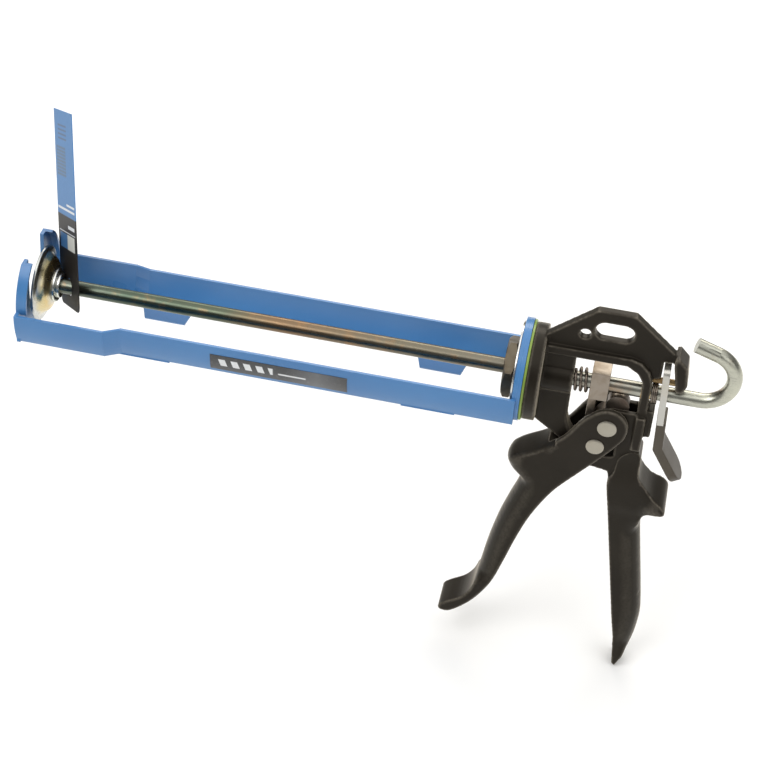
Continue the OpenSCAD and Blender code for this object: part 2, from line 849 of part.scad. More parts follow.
carriage_frame();
rear_ring_plate();
rail_label();
hex_nut();
retaining_washer();
swivel_washer();
body_casting();
front_bush();
rear_bush();
rod();
rod_collar();
plunger_nut();
plunger_disc();
backing_washer();
hang_tag();
main_spring();
drive_block();
trigger();
trigger_pusher();
pusher_rivet();
trigger_pivot_pin();
brake_plate();
release_paddle();
brake_spring();
guide_pin();
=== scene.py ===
import math

import bmesh
import bpy
from mathutils import Matrix, Vector


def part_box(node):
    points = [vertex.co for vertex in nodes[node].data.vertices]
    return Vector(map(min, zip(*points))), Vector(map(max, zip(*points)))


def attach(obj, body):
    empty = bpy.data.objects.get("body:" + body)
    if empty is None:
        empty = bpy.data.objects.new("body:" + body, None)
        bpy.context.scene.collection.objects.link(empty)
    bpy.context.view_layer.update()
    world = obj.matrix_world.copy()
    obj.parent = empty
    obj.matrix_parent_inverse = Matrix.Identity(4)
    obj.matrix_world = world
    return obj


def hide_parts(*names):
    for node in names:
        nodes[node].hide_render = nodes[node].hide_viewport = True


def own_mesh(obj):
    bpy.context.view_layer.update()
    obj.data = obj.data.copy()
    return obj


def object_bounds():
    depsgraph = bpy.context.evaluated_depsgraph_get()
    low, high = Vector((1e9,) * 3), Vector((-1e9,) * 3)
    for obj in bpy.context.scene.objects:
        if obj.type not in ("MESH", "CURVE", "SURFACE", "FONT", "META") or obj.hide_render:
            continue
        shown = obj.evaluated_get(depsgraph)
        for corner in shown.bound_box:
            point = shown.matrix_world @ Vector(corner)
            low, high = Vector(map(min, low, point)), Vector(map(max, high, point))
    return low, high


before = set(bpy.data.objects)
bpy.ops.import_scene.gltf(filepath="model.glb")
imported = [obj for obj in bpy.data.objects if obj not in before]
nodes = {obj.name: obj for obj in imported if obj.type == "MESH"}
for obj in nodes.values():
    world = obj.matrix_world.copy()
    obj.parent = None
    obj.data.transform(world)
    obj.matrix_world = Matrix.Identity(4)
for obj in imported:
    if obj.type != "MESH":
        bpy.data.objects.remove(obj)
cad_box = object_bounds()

MM = 0.001
QUARTER_TURN = math.pi / 2
NOISE_SPAN = (0.3, 0.7)  # nearly all values of a noise pattern lie in this span

# Lengths are in metres. The rod's line is the X axis, with the carriage in front and the grip and
# hook behind.
rod_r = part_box("rod")[1].y
nut_low, nut_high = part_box("hex_nut")
casting_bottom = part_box("body_casting")[0].z
trigger_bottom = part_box("trigger")[0].z
disc_low, disc_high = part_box("plunger_disc")
pin_low, pin_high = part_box("trigger_pivot_pin")
rivet_low, rivet_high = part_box("pusher_rivet")
pivot = Vector(((pin_low.x + pin_high.x) / 2, 0, (pin_low.z + pin_high.z) / 2))
rivet = Vector(((rivet_low.x + rivet_high.x) / 2, 0, (rivet_low.z + rivet_high.z) / 2))


# ---------------------------------------------------------------- material tools

def new_finish(name):
    """A new material, with its node tree and its shader."""
    material = bpy.data.materials.new(name)
    material.use_nodes = True
    tree = material.node_tree
    shader = tree.nodes["Principled BSDF"]
    return material, tree, shader


def add_node(tree, kind, **settings):
    """A new node with its settings."""
    node = tree.nodes.new(kind)
    for key, value in settings.items():
        setattr(node, key, value)
    return node


def object_place(tree, scale=(1, 1, 1), shift=(0, 0, 0)):
    """Object coordinates, stretched and shifted for a pattern."""
    place = add_node(tree, "ShaderNodeTexCoord")
    mapping = add_node(tree, "ShaderNodeMapping")
    mapping.inputs["Scale"].default_value = scale
    mapping.inputs["Location"].default_value = shift
    tree.links.new(place.outputs["Object"], mapping.inputs["Vector"])
    return mapping.outputs["Vector"]


def speckle(tree, vector, scale, detail, distortion=0.0):
    """A noise pattern's value; the scale is in patches to the metre."""
    noise = add_node(tree, "ShaderNodeTexNoise")
    noise.inputs["Scale"].default_value = scale
    noise.inputs["Detail"].default_value = detail
    noise.inputs["Roughness"].default_value = 0.55
    noise.inputs["Distortion"].default_value = distortion
    tree.links.new(vector, noise.inputs["Vector"])
    return noise.outputs["Fac"]


def ramp(tree, value, stops):
    """A colour ramp through (position, colour) stops."""
    band = add_node(tree, "ShaderNodeValToRGB")
    while len(band.color_ramp.elements) < len(stops):
        band.color_ramp.elements.new(0.5)
    for element, (position, colour) in zip(band.color_ramp.elements, stops):
        element.position = position
        element.color = (*colour, 1)
    tree.links.new(value, band.inputs["Fac"])
    return band.outputs["Color"]


def scaled(tree, value, from_low, from_high, to_low, to_high):
    """The value moved from one span to another, and kept inside it."""
    span = add_node(tree, "ShaderNodeMapRange")
    ends = {"From Min": from_low, "From Max": from_high, "To Min": to_low, "To Max": to_high}
    for key, number in ends.items():
        span.inputs[key].default_value = number
    tree.links.new(value, span.inputs["Value"])
    return span.outputs["Result"]


def mixed(tree, share, a, b):
    """Colour a where share is 0 and b where it is 1; a and b are colours or sockets."""
    mix = add_node(tree, "ShaderNodeMix", data_type="RGBA")
    for socket, value in ((mix.inputs["Factor"], share), (mix.inputs["A"], a), (mix.inputs["B"], b)):
        if isinstance(value, bpy.types.NodeSocket):
            tree.links.new(value, socket)
        elif isinstance(value, (tuple, list)):
            socket.default_value = (*value, 1)
        else:
            socket.default_value = value
    return mix.outputs["Result"]


def calculated(tree, operation, a, b=0.0):
    """The result of one operation on a and b, which are numbers or sockets."""
    result = add_node(tree, "ShaderNodeMath", operation=operation)
    for socket, value in zip(result.inputs, (a, b)):
        if isinstance(value, bpy.types.NodeSocket):
            tree.links.new(value, socket)
        else:
            socket.default_value = value
    return result.outputs["Value"]


def bumped(tree, shader, height, strength, distance, edge=0.0):
    """Surface relief; with an edge size, sharp edges also catch light as if rounded that much."""
    bump = add_node(tree, "ShaderNodeBump")
    if edge:
        rounded = add_node(tree, "ShaderNodeBevel", samples=6)
        rounded.inputs["Radius"].default_value = edge
        tree.links.new(rounded.outputs["Normal"], bump.inputs["Normal"])
    bump.inputs["Strength"].default_value = strength
    bump.inputs["Distance"].default_value = distance
    tree.links.new(height, bump.inputs["Height"])
    tree.links.new(bump.outputs["Normal"], shader.inputs["Normal"])


def edge_share(tree, width):
    """1 on sharp edges and 0 on flat faces."""
    slight_bend, full_bend = 0.02, 0.2
    rounded = add_node(tree, "ShaderNodeBevel", samples=6)
    rounded.inputs["Radius"].default_value = width
    flat = add_node(tree, "ShaderNodeNewGeometry")
    dot = add_node(tree, "ShaderNodeVectorMath", operation="DOT_PRODUCT")
    tree.links.new(rounded.outputs["Normal"], dot.inputs[0])
    tree.links.new(flat.outputs["Normal"], dot.inputs[1])
    return scaled(tree, dot.outputs["Value"], 1 - slight_bend, 1 - full_bend, 0, 1)


def brighter(colour, factor, lift):
    """The colour times a factor, with a little white added."""
    return tuple(min(1, part * factor + lift) for part in colour)


def powder_coat(name, light, deep):
    """Gloss powder coat: faint orange peel, small shade changes, and thin paint on edges."""
    material, tree, shader = new_finish(name)
    place = object_place(tree)
    cloud = speckle(tree, place, 14, detail=3)
    dust = speckle(tree, place, 900, detail=2)
    colour = mixed(tree, scaled(tree, cloud, *NOISE_SPAN, 0, 1), deep, light)
    edge_wear_and_highlight = calculated(tree, "MULTIPLY", edge_share(tree, 0.5 * MM), scaled(tree, dust, 0.35, 0.6, 0.1, 0.7))
    colour = mixed(tree, edge_wear_and_highlight, colour, brighter(light, 1.35, 0.06))
    tree.links.new(colour, shader.inputs["Base Color"])
    tree.links.new(scaled(tree, cloud, *NOISE_SPAN, 0.26, 0.36), shader.inputs["Roughness"])
    shader.inputs["Coat Weight"].default_value = 0.18
    shader.inputs["Coat Roughness"].default_value = 0.2
    shader.inputs["Specular IOR Level"].default_value = 0.4
    bumped(tree, shader, speckle(tree, place, 420, detail=1), 0.10, 0.3 * MM, edge=0.3 * MM)
    return material


def cast_paint(name, base, rough_low, rough_high):
    """Satin black paint over a casting: soft pits, a painted warm highlight along its edges, light dust."""
    material, tree, shader = new_finish(name)
    place = object_place(tree)
    cloud = speckle(tree, place, 22, detail=4)
    grain = speckle(tree, place, 650, detail=2)
    colour = mixed(tree, scaled(tree, cloud, 0.35, 0.7, 0, 0.6), base, brighter(base, 2.4, 0.003))
    bend = add_node(tree, "ShaderNodeNewGeometry")
    # Painted highlight: edges found by pointiness, broken up by grain, are lightened to a warm grey.
    edges = scaled(tree, bend.outputs["Pointiness"], 0.505, 0.56, 0, 1)
    edge_wear_and_highlight = calculated(tree, "MULTIPLY", edges, scaled(tree, grain, 0.3, 0.6, 0.5, 1))
    colour = mixed(tree, edge_wear_and_highlight, colour, (0.17, 0.15, 0.12))
    tree.links.new(colour, shader.inputs["Base Color"])
    tree.links.new(scaled(tree, cloud, *NOISE_SPAN, rough_low, rough_high), shader.inputs["Roughness"])
    shader.inputs["Specular IOR Level"].default_value = 0.19
    shader.inputs["Specular Tint"].default_value = (1.0, 0.9, 0.76, 1)
    shader.inputs["Sheen Weight"].default_value = 0.5
    shader.inputs["Sheen Roughness"].default_value = 0.3
    shader.inputs["Sheen Tint"].default_value = (1.0, 0.88, 0.68, 1)
    height = mixed(tree, 0.35, grain, speckle(tree, place, 110, detail=2))
    bumped(tree, shader, height, 0.16, 0.25 * MM)
    return material


def zinc_plate(name, base, tint_a, tint_b, rough=(0.18, 0.32), tint=0.35):
    """Zinc plating with two faint tints in clouds, and fine dark marks."""
    material, tree, shader = new_finish(name)
    place = object_place(tree)
    lines = speckle(tree, object_place(tree), 260, detail=5)
    cloud = speckle(tree, place, 38, detail=4, distortion=0.6)
    colour = mixed(tree, scaled(tree, cloud, 0.46, 0.66, 0, tint), base, tint_a)
    other = speckle(tree, object_place(tree, shift=(0.3, 0.1, 0.2)), 30, detail=4, distortion=0.8)
    colour = mixed(tree, scaled(tree, other, 0.5, 0.7, 0, tint), colour, tint_b)
    colour = mixed(tree, scaled(tree, lines, 0.3, 0.75, 0.25, 0), colour, brighter(base, 0.55, 0))
    tree.links.new(colour, shader.inputs["Base Color"])
    shader.inputs["Metallic"].default_value = 1
    tree.links.new(scaled(tree, lines, *NOISE_SPAN, *rough), shader.inputs["Roughness"])
    bumped(tree, shader, lines, 0.12, 0.1 * MM)
    return material


def dark_steel(name, base, brown, rough=(0.3, 0.48)):
    """Oiled or blackened steel, mottled with brown."""
    material, tree, shader = new_finish(name)
    place = object_place(tree)
    cloud = speckle(tree, place, 90, detail=6, distortion=0.4)
    colour = mixed(tree, scaled(tree, cloud, 0.42, 0.68, 0, 1), base, brown)
    edge_wear_and_highlight = edge_share(tree, 0.3 * MM)
    colour = mixed(tree, calculated(tree, "MULTIPLY", edge_wear_and_highlight, 0.55), colour, brighter(base, 1.5, 0.12))
    tree.links.new(colour, shader.inputs["Base Color"])
    shader.inputs["Metallic"].default_value = 0.9
    tree.links.new(scaled(tree, cloud, *NOISE_SPAN, *rough), shader.inputs["Roughness"])
    bumped(tree, shader, speckle(tree, place, 800, detail=3), 0.15, 0.1 * MM)
    return material


def moulded_plastic(name, base, rough):
    """Moulded plastic with a fine spark-eroded grain and rubbed patches."""
    material, tree, shader = new_finish(name)
    place = object_place(tree)
    cloud = speckle(tree, place, 60, detail=3)
    paler, palest = brighter(base, 1.25, 0.01), brighter(base, 1.5, 0.05)
    colour = mixed(tree, scaled(tree, cloud, 0.35, 0.7, 0, 1), base, paler)
    colour = mixed(tree, calculated(tree, "MULTIPLY", edge_share(tree, 0.4 * MM), 0.3), colour, palest)
    tree.links.new(colour, shader.inputs["Base Color"])
    tree.links.new(scaled(tree, cloud, *NOISE_SPAN, *rough), shader.inputs["Roughness"])
    shader.inputs["Specular Tint"].default_value = (1.0, 0.93, 0.82, 1)
    bumped(tree, shader, speckle(tree, place, 1400, detail=1), 0.12, 0.1 * MM)
    return material


def long_rod_zinc(name):
    """The rod's plating: greenish near the front, a copper tint in the middle, bright at the hook."""
    material, tree, shader = new_finish(name)
    place = object_place(tree)
    spot = add_node(tree, "ShaderNodeSeparateXYZ")
    tree.links.new(place, spot.inputs["Vector"])
    cloud = speckle(tree, object_place(tree, scale=(0.35, 1, 1)), 70, detail=4, distortion=0.7)
    shifted = calculated(tree, "ADD", spot.outputs["X"], scaled(tree, cloud, *NOISE_SPAN, -0.012, 0.012))
    colour = ramp(tree, scaled(tree, shifted, 0.0, 0.38, 0, 1), (
        (0.00, (0.15, 0.16, 0.13)), (0.14, (0.075, 0.10, 0.072)), (0.27, (0.10, 0.115, 0.08)),
        (0.37, (0.20, 0.13, 0.075)), (0.50, (0.16, 0.14, 0.10)), (0.66, (0.17, 0.155, 0.12)),
        (0.80, (0.34, 0.335, 0.29)), (0.91, (0.42, 0.42, 0.36)), (1.0, (0.55, 0.55, 0.45))))
    patches = speckle(tree, object_place(tree, shift=(0.2, 0.4, 0.1)), 75, detail=3, distortion=0.5)
    colour = mixed(tree, scaled(tree, patches, 0.56, 0.70, 0, 0.55), colour, (0.30, 0.17, 0.08))
    marks = speckle(tree, object_place(tree, scale=(1, 14, 14)), 120, detail=4)
    marked = scaled(tree, marks, 0.56, 0.72, 0, 0.4)
    colour = mixed(tree, marked, colour, (0.16, 0.15, 0.13))
    tree.links.new(colour, shader.inputs["Base Color"])
    shader.inputs["Metallic"].default_value = 1
    tree.links.new(scaled(tree, marks, *NOISE_SPAN, 0.24, 0.38), shader.inputs["Roughness"])
    bumped(tree, shader, marks, 0.10, 0.1 * MM)
    return material


def dished_zinc(name):
    """The plunger's plating, yellower where the dish was drawn."""
    material, tree, shader = new_finish(name)
    place = object_place(tree)
    spot = add_node(tree, "ShaderNodeSeparateXYZ")
    tree.links.new(place, spot.inputs["Vector"])
    across = calculated(tree, "POWER", spot.outputs["Y"], 2.0)
    upward = calculated(tree, "POWER", spot.outputs["Z"], 2.0)
    radius = calculated(tree, "SQRT", calculated(tree, "ADD", across, upward))
    cloud = speckle(tree, place, 120, detail=4, distortion=0.6)
    shifted = calculated(tree, "ADD", radius, scaled(tree, cloud, *NOISE_SPAN, -0.0012, 0.0012))
    colour = ramp(tree, scaled(tree, shifted, 0.0, 0.021, 0, 1), (
        (0.0, (0.58, 0.57, 0.53)), (0.42, (0.62, 0.60, 0.54)), (0.56, (0.70, 0.55, 0.26)),
        (0.72, (0.66, 0.57, 0.34)), (0.82, (0.60, 0.60, 0.56)), (1.0, (0.52, 0.53, 0.50))))
    tree.links.new(colour, shader.inputs["Base Color"])
    shader.inputs["Metallic"].default_value = 1
    tree.links.new(scaled(tree, cloud, *NOISE_SPAN, 0.2, 0.36), shader.inputs["Roughness"])
    bumped(tree, shader, cloud, 0.15, 0.1 * MM)
    return material


def band_share(tree, value, low, high, soft=0.004):
    """1 where the value lies between low and high, else 0."""
    rise = scaled(tree, value, low - soft, low + soft, 0, 1)
    fall = scaled(tree, value, high - soft, high + soft, 1, 0)
    return calculated(tree, "MULTIPLY", rise, fall)


def printed_card(name):
    """The tag's print: sky blue above, near black below, white rules, and plain patches."""
    material, tree, shader = new_finish(name)
    sheet = add_node(tree, "ShaderNodeUVMap", uv_map="sheet")
    spot = add_node(tree, "ShaderNodeSeparateXYZ")
    tree.links.new(sheet.outputs["UV"], spot.inputs["Vector"])
    u, v = spot.outputs["X"], spot.outputs["Y"]
    fibre = speckle(tree, object_place(tree), 700, detail=4)
    colour = mixed(tree, scaled(tree, fibre, *NOISE_SPAN, 0, 1), (0.082, 0.235, 0.50), (0.098, 0.262, 0.54))

    def printed(colour, low, high, left, right, ink, soft=0.001):
        share = calculated(tree, "MULTIPLY", band_share(tree, v, low, high, soft),
                           band_share(tree, u, left, right, soft))
        return mixed(tree, share, colour, ink)

    white, near_black = (0.78, 0.80, 0.82), (0.018, 0.015, 0.013)
    line_ink, heading_ink = (0.12, 0.19, 0.28), (0.10, 0.15, 0.24)
    patch_blue, patch_white = (0.075, 0.20, 0.42), (0.74, 0.74, 0.68)
    line_pitch, heading_pitch = 0.017, 0.022
    for row in range(9):
        rise = line_pitch * row
        colour = printed(colour, 0.670 + rise, 0.681 + rise, 0.08, 0.58, line_ink, 0.004)
    for row in range(4):
        rise = heading_pitch * row
        colour = printed(colour, 0.855 + rise, 0.863 + rise, 0.20, 0.66, heading_ink, 0.003)
    colour = printed(colour, -1.0, 0.470, -1.0, 2.0, near_black, 0.003)
    for low, high, left, right, ink in (
            (0.496, 0.508, 0.04, 0.96, white), (0.522, 0.533, 0.52, 0.96, white),
            (0.408, 0.426, 0.56, 0.92, white), (0.383, 0.388, 0.06, 0.94, white),
            (0.300, 0.376, 0.10, 0.50, patch_blue), (0.300, 0.376, 0.50, 0.90, patch_white)):
        colour = printed(colour, low, high, left, right, ink)
    tree.links.new(colour, shader.inputs["Base Color"])
    shader.inputs["Roughness"].default_value = 0.5
    shader.inputs["Specular IOR Level"].default_value = 0.25
    bumped(tree, shader, fibre, 0.08, 0.05 * MM)
    return material


def printed_film(name):
    """The rail label: black film that fades to grey, with plain slanted white bars."""
    material, tree, shader = new_finish(name)
    film = add_node(tree, "ShaderNodeUVMap", uv_map="film")
    spot = add_node(tree, "ShaderNodeSeparateXYZ")
    tree.links.new(film.outputs["UV"], spot.inputs["Vector"])
    u, v = spot.outputs["X"], spot.outputs["Y"]
    scuff = speckle(tree, object_place(tree), 500, detail=4)
    colour = ramp(tree, u, (
        (0.0, (0.010, 0.011, 0.012)), (0.55, (0.016, 0.018, 0.020)), (0.78, (0.10, 0.105, 0.11)),
        (0.90, (0.05, 0.052, 0.055)), (1.0, (0.02, 0.02, 0.02))))
    bars_to_length, bar_lean, bar_width = 11.0, 0.45, 0.55
    slant = calculated(tree, "ADD", calculated(tree, "MULTIPLY", u, bars_to_length),
                       calculated(tree, "MULTIPLY", v, bar_lean))
    bars = calculated(tree, "LESS_THAN", calculated(tree, "FRACT", slant), bar_width)
    bar_field = calculated(tree, "MULTIPLY", band_share(tree, u, 0.06, 0.46),
                           band_share(tree, v, 0.32, 0.76, 0.02))
    bars = calculated(tree, "MULTIPLY", bars, bar_field)
    rule = calculated(tree, "MULTIPLY", band_share(tree, u, 0.50, 0.70),
                      band_share(tree, v, 0.40, 0.50, 0.02))
    colour = mixed(tree, calculated(tree, "MAXIMUM", bars, rule), colour, (0.72, 0.74, 0.75))
    colour = mixed(tree, scaled(tree, scuff, 0.55, 0.8, 0, 0.2), colour, (0.3, 0.3, 0.3))
    tree.links.new(colour, shader.inputs["Base Color"])
    shader.inputs["Roughness"].default_value = 0.28
    shader.inputs["Coat Weight"].default_value = 0.4
    bumped(tree, shader, scuff, 0.05, 0.03 * MM)
    return material


blue_coat = powder_coat("blue_powder_coat", (0.066, 0.215, 0.47), (0.052, 0.178, 0.41))
black_paint = cast_paint("black_cast_paint", (0.0080, 0.0064, 0.0044), 0.33, 0.45)
zinc = zinc_plate("zinc_plating", (0.74, 0.73, 0.70), (0.80, 0.66, 0.40), (0.55, 0.72, 0.55))
steel = dark_steel("plain_steel", (0.29, 0.25, 0.205), (0.20, 0.15, 0.10))
nut_steel = dark_steel("nut_steel", (0.125, 0.105, 0.075), (0.07, 0.05, 0.03), rough=(0.34, 0.5))
spring_steel = dark_steel("spring_wire", (0.20, 0.17, 0.14), (0.12, 0.09, 0.07))
bronze = dark_steel("sintered_bronze", (0.42, 0.30, 0.15), (0.30, 0.20, 0.10), rough=(0.4, 0.6))
green_plastic = moulded_plastic("green_washer_plastic", (0.20, 0.30, 0.05), rough=(0.3, 0.42))
black_plastic = moulded_plastic("black_moulded_plastic", (0.046, 0.037, 0.026), rough=(0.36, 0.5))
rod_zinc = long_rod_zinc("rod_zinc")
pin_zinc = zinc_plate("pin_zinc", (0.40, 0.375, 0.315), (0.40, 0.34, 0.24), (0.33, 0.34, 0.28),
                      rough=(0.34, 0.46), tint=0.3)
brake_zinc = zinc_plate("brake_zinc", (0.55, 0.54, 0.50), (0.58, 0.50, 0.36), (0.42, 0.48, 0.42),
                        rough=(0.3, 0.5))
disc_zinc = dished_zinc("plunger_zinc")
tag_card = printed_card("tag_card")
label_film = printed_film("label_film")


def finish(piece, material):
    piece.data.materials.clear()
    piece.data.materials.append(material)


for node, material in {
    "carriage_frame": blue_coat,
    "rear_ring_plate": blue_coat,
    "rail_label": black_plastic,
    "hex_nut": steel,
    "retaining_washer": zinc,
    "swivel_washer": green_plastic,
    "body_casting": black_paint,
    "front_bush": bronze,
    "rear_bush": bronze,
    "rod": zinc,
    "rod_collar": zinc,
    "plunger_nut": zinc,
    "plunger_disc": zinc,
    "backing_washer": zinc,
    "hang_tag": blue_coat,
    "main_spring": spring_steel,
    "drive_block": steel,
    "trigger": black_paint,
    "trigger_pusher": spring_steel,
    "pusher_rivet": zinc,
    "trigger_pivot_pin": zinc,
    "brake_plate": zinc,
    "release_paddle": black_plastic,
    "brake_spring": spring_steel,
    "guide_pin": bronze,
}.items():
    finish(nodes[node], material)


# ---------------------------------------------------------------- piece tools

def in_scene(name, data):
    """A new object that shows the data."""
    item = bpy.data.objects.new(name, data)
    bpy.context.scene.collection.objects.link(item)
    return item


def mesh_from(name, shape):
    """A new mesh from a bmesh, which is freed."""
    mesh = bpy.data.meshes.new(name)
    shape.to_mesh(mesh)
    shape.free()
    return mesh


def piece_from(name, shape, body, material, replaced):
    """A new piece from a bmesh, which rides on a body and is shown in place of the replaced nodes."""
    mesh = mesh_from(name, shape)
    piece = in_scene(name, mesh)
    mesh.materials.append(material)
    for face in mesh.polygons:
        face.use_smooth = True
    mesh.set_sharp_from_angle(angle=math.radians(38))
    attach(piece, body)
    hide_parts(*replaced)
    return piece


def cad_copy(node):
    """The node's mesh, merged, with its flat faces made whole."""
    shape = bmesh.new()
    shape.from_mesh(nodes[node].data)
    bmesh.ops.remove_doubles(shape, verts=shape.verts, dist=2e-6)
    bmesh.ops.dissolve_limit(shape, angle_limit=math.radians(0.6), verts=shape.verts,
                             edges=shape.edges, delimit={"NORMAL"})
    return shape


def softened(node, name, body, material, width):
    """The node's shape again with every sharp edge rounded."""
    piece = piece_from(name, cad_copy(node), body, material, (node,))
    rounding = piece.modifiers.new("edges", "BEVEL")
    rounding.width = width
    rounding.segments = 3
    rounding.limit_method = "ANGLE"
    rounding.angle_limit = math.radians(32)
    rounding.harden_normals = True
    rounding.miter_outer = "MITER_ARC"


def applied(piece):
    """Makes the piece's modifiers part of its mesh."""
    bpy.context.view_layer.update()
    seen = bpy.context.evaluated_depsgraph_get()
    mesh = bpy.data.meshes.new_from_object(piece.evaluated_get(seen))
    piece.modifiers.clear()
    old, piece.data = piece.data, mesh
    bpy.data.meshes.remove(old)


def melted(piece, grain, rounds, keep):
    """Turns overlapping closed shapes into one casting with soft corners, and keeps a share of its faces."""
    skin = piece.modifiers.new("skin", "REMESH")
    skin.mode = "VOXEL"
    skin.voxel_size = grain
    skin.use_smooth_shade = True
    soft = piece.modifiers.new("soft", "SMOOTH")
    soft.factor = 0.5
    soft.iterations = rounds
    fewer = piece.modifiers.new("fewer", "DECIMATE")
    fewer.ratio = keep
    applied(piece)
    for face in piece.data.polygons:
        face.use_smooth = True


def rotated(shape, angle, axis):
    """Turns a bmesh about one of the frame's axes."""
    bmesh.ops.rotate(shape, verts=shape.verts, cent=(0, 0, 0), matrix=Matrix.Rotation(angle, 3, axis))


def turned(profile, steps=96):
    """A solid of revolution about the rod's line, from (place along it, radius) points."""
    shape = bmesh.new()
    verts = [shape.verts.new((x, 0, r)) for x, r in profile]
    edges = [shape.edges.new((a, b)) for a, b in zip(verts, verts[1:])]
    bmesh.ops.spin(shape, geom=verts + edges, cent=(0, 0, 0), axis=(1, 0, 0), angle=math.tau, steps=steps,
                   use_merge=True, use_duplicate=False)
    bmesh.ops.remove_doubles(shape, verts=shape.verts, dist=1e-6)
    bmesh.ops.recalc_face_normals(shape, faces=shape.faces)
    return shape


def cross_turned(profile, place):
    """A solid of revolution about a line across the tool, from (distance from the middle, radius) points."""
    shape = turned(profile, steps=64)
    rotated(shape, QUARTER_TURN, "Z")
    bmesh.ops.translate(shape, verts=shape.verts, vec=place)
    return shape


def smooth_step(value, start, end):
    """0 before the start and 1 after the end, with a soft rise between."""
    t = min(1, max(0, (value - start) / (end - start)))
    return t * t * (3 - 2 * t)


def crowned(piece, side, bottom, top, depth, fade, rearmost=1.0, hollow_half=0):
    """Rounds a grip's whole edge, at its rear (side 1) or its front (side -1), between two heights.

    Places behind the rearmost one, and the walls of a hollow of the given half width, stay as they are.
    """
    step, wall = 1.5 * MM, 1.5 * MM
    rows = {}
    for vert in piece.data.vertices:
        row = math.floor(vert.co.z / step)
        edge, half = rows.get(row, (-math.inf, 0))
        rows[row] = (max(edge, side * vert.co.x), max(half, abs(vert.co.y)))

    def outline(row):
        near = [rows[number] for number in range(row - 2, row + 3) if number in rows]
        return [sum(values) / len(near) for values in zip(*near)]

    smooth_rows = {row: outline(row) for row in rows}
    for vert in piece.data.vertices:
        share = smooth_step(vert.co.z, bottom, bottom + fade) * (1 - smooth_step(vert.co.z, top - fade, top))
        if share == 0 or vert.co.x > rearmost:
            continue
        place = vert.co.z / step - 0.5
        row = math.floor(place)
        below, above = smooth_rows.get(row), smooth_rows.get(row + 1)
        if not below or not above:
            continue
        edge, half = ((1 - place + row) * a + (place - row) * b for a, b in zip(below, above))
        inset = edge - side * vert.co.x
        out = min(1, 1 - inset / depth)
        if out > 0 and (inset < wall or abs(vert.co.y) > hollow_half):
            across = max(-1, min(1, vert.co.y / half))
            vert.co.x -= side * share * depth * out * (1 - math.sqrt(1 - across * across / 2))
            vert.co.y *= 1 - share * (1 - math.sqrt(1 - out * out / 2))


# ---------------------------------------------------------------- body casting

column_end_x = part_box("rear_bush")[1].x

casting = piece_from("casting", cad_copy("body_casting"), "body", black_paint, ("body_casting",))
melted(casting, grain=0.6 * MM, rounds=5, keep=0.45)

grip_top, neck_top, neck_half = -50 * MM, -34 * MM, 6.5 * MM
slim_below, flare_above = (-80 * MM, -70 * MM), (-77 * MM, -69 * MM)
flare_below, neck_above = (-66 * MM, -52 * MM), (-60 * MM, -42 * MM)
rest_flare, grip_slimming, neck_slimming = 0.42, 0.10, 0.75

# The thumb rest flares out behind the grip, which is slimmer below it. The neck is slimmer above it.
for vert in casting.data.vertices:
    x, z = vert.co.x, vert.co.z
    back = smooth_step(x, column_end_x + 3 * MM, column_end_x + 15 * MM)
    level = smooth_step(z, *flare_above) * (1 - smooth_step(z, *flare_below))
    low = 1 - smooth_step(z, *slim_below)
    if z < grip_top:
        vert.co.y *= 1 + rest_flare * back * level - grip_slimming * low
    shoulder = smooth_step(z, *neck_above) * (1 - smooth_step(x, column_end_x, column_end_x + 4 * MM))
    past = abs(vert.co.y) - neck_half
    if z < neck_top and past > 0:
        vert.co.y = math.copysign(neck_half + past * (1 - neck_slimming * shoulder), vert.co.y)
crowned(casting, 1, bottom=casting_bottom + 6 * MM, top=-79 * MM, depth=11 * MM, fade=12 * MM)

lever = piece_from("trigger_lever", cad_copy("trigger"), "trigger_lever", black_paint, ("trigger",))
melted(lever, grain=0.6 * MM, rounds=6, keep=0.5)
lever_hollow = 6.9 * MM
crowned(lever, -1, bottom=trigger_bottom + 24 * MM, top=-50 * MM, depth=9 * MM, fade=9 * MM,
        rearmost=pivot.x, hollow_half=lever_hollow)
crowned(lever, -1, bottom=-58 * MM, top=-24 * MM, depth=5 * MM, fade=8 * MM,
        rearmost=pivot.x - 25 * MM, hollow_half=lever_hollow)

paddle = piece_from("thumb_paddle", cad_copy("release_paddle"), "release", black_plastic,
                    ("release_paddle",))
melted(paddle, grain=0.4 * MM, rounds=6, keep=0.5)

softened("brake_plate", "brake", "release", brake_zinc, 0.35 * MM)
softened("drive_block", "block", "drive", steel, 0.4 * MM)
softened("rod", "push_rod", "push_rod", rod_zinc, 0.5 * MM)

# ---------------------------------------------------------------- pins, nut, washers

pin_radius = (pin_high.x - pin_low.x) / 2
rivet_radius = (rivet_high.x - rivet_low.x) / 2


def headed_pin(name, node, body, place, half, radius, shank):
    """A pin across the tool with a low domed head and a bright rim at each end."""
    head = 1.0 * MM
    dome = [(0, 0), (0.06 * MM, radius * 0.45), (0.22 * MM, radius * 0.80), (0.28 * MM, radius * 0.86),
            (0.62 * MM, radius), (head, radius), (head, shank)]
    profile = [(-half + inset, r) for inset, r in dome] + [(half - inset, r) for inset, r in dome[::-1]]
    piece_from(name, cross_turned(profile, place), body, pin_zinc, (node,))


headed_pin("pivot_pin", "trigger_pivot_pin", "body", pivot, pin_high.y, pin_radius, 3.6 * MM)
headed_pin("rivet", "pusher_rivet", "trigger_lever", rivet, rivet_high.y, rivet_radius, 2.5 * MM)

stack_bore, stud_bore = 11 * MM, 3.05 * MM

